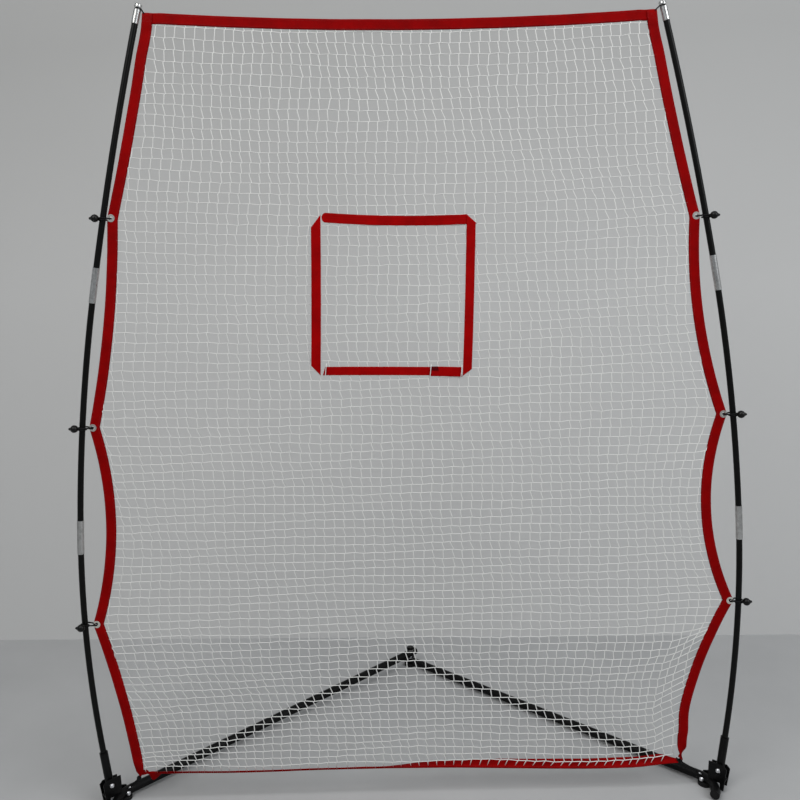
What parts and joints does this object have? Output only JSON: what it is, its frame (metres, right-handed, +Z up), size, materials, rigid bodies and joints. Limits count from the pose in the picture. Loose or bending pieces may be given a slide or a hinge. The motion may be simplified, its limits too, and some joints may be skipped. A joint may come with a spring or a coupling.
{
  "type": "pitching target net",
  "caption": "Free-standing net on two bowed poles and a folding V base, with a webbing border and a square webbing strike zone for pitching practice.",
  "frame": {"origin": "on the ground under the middle of the whole object's box", "axes": "+X across the net, +Y from the thrower's side back to the base hinge, +Z up"},
  "size_m": [1.8401, 0.81, 2.1564],
  "materials": {
    "black_steel": "satin black powder coat",
    "black_fibreglass": "semi-gloss black pultruded fibreglass",
    "bright_aluminium": "drawn tube, satin with fine length-wise lines",
    "zinc_steel": "bright zinc plate",
    "nickel_brass": "nickel-plated brass eyelet",
    "red_webbing": "dark red flat-woven polyester webbing",
    "target_webbing": "dark red flat-woven polyester webbing",
    "hook_and_loop": "dark red hook-and-loop closure",
    "white_cord": "white knotless polyester netting cord",
    "black_elastic": "braided black elastic cord",
    "ball_plastic": "moulded black plastic",
    "black_plastic": "moulded black tube plug",
    "pad_rubber": "matt black rubber"
  },
  "bodies": {
    "left_side": {"left_leg": "black_steel", "left_leg_plugs": "black_plastic", "left_foot_bracket": "black_steel", "left_bracket_bolts": "zinc_steel", "left_bracket_nuts": "zinc_steel", "left_foot_pad": "pad_rubber", "left_socket": "black_steel", "left_pole_lower": "black_fibreglass", "left_pole_middle": "black_fibreglass", "left_pole_upper": "black_fibreglass", "left_ferrule_lower": "bright_aluminium", "left_ferrule_upper": "bright_aluminium", "left_pole_cap": "bright_aluminium", "left_border": "red_webbing", "left_grommets": "nickel_brass", "left_bungee_cords": "black_elastic", "left_bungee_balls": "ball_plastic", "left_top_loop": "black_elastic", "left_corner_tie": "black_elastic", "left_tie_eye": "zinc_steel", "hinge_bolt": "zinc_steel", "hinge_spacer": "zinc_steel", "hinge_washer": "zinc_steel", "top_border": "red_webbing", "bottom_border": "red_webbing", "net_mesh": "white_cord", "target_strap_top": "target_webbing", "target_strap_bottom": "target_webbing", "target_strap_left": "target_webbing", "target_strap_right": "target_webbing", "target_tab": "hook_and_loop"},
    "right_side": {"right_leg": "black_steel", "right_leg_plugs": "black_plastic", "right_foot_bracket": "black_steel", "right_bracket_bolts": "zinc_steel", "right_bracket_nuts": "zinc_steel", "right_foot_pad": "pad_rubber", "right_socket": "black_steel", "right_pole_lower": "black_fibreglass", "right_pole_middle": "black_fibreglass", "right_pole_upper": "black_fibreglass", "right_ferrule_lower": "bright_aluminium", "right_ferrule_upper": "bright_aluminium", "right_pole_cap": "bright_aluminium", "right_border": "red_webbing", "right_grommets": "nickel_brass", "right_bungee_cords": "black_elastic", "right_bungee_balls": "ball_plastic", "right_top_loop": "black_elastic", "right_corner_tie": "black_elastic", "right_tie_eye": "zinc_steel", "hinge_pad": "pad_rubber"},
    "knob": {"hinge_knob": "ball_plastic"}
  },
  "joints": [
    {"name": "base_fold", "type": "hinge", "parent": "left_side", "child": "right_side", "pos_m": [0, 0.3795, 0], "axis": [0, 0, 1], "range_deg": [-75, 0]},
    {"name": "hinge_knob_turn", "type": "hinge", "parent": "left_side", "child": "knob", "pos_m": [0, 0.3795, 0.065], "axis": [0, 0, 1], "continuous": true}
  ]
}
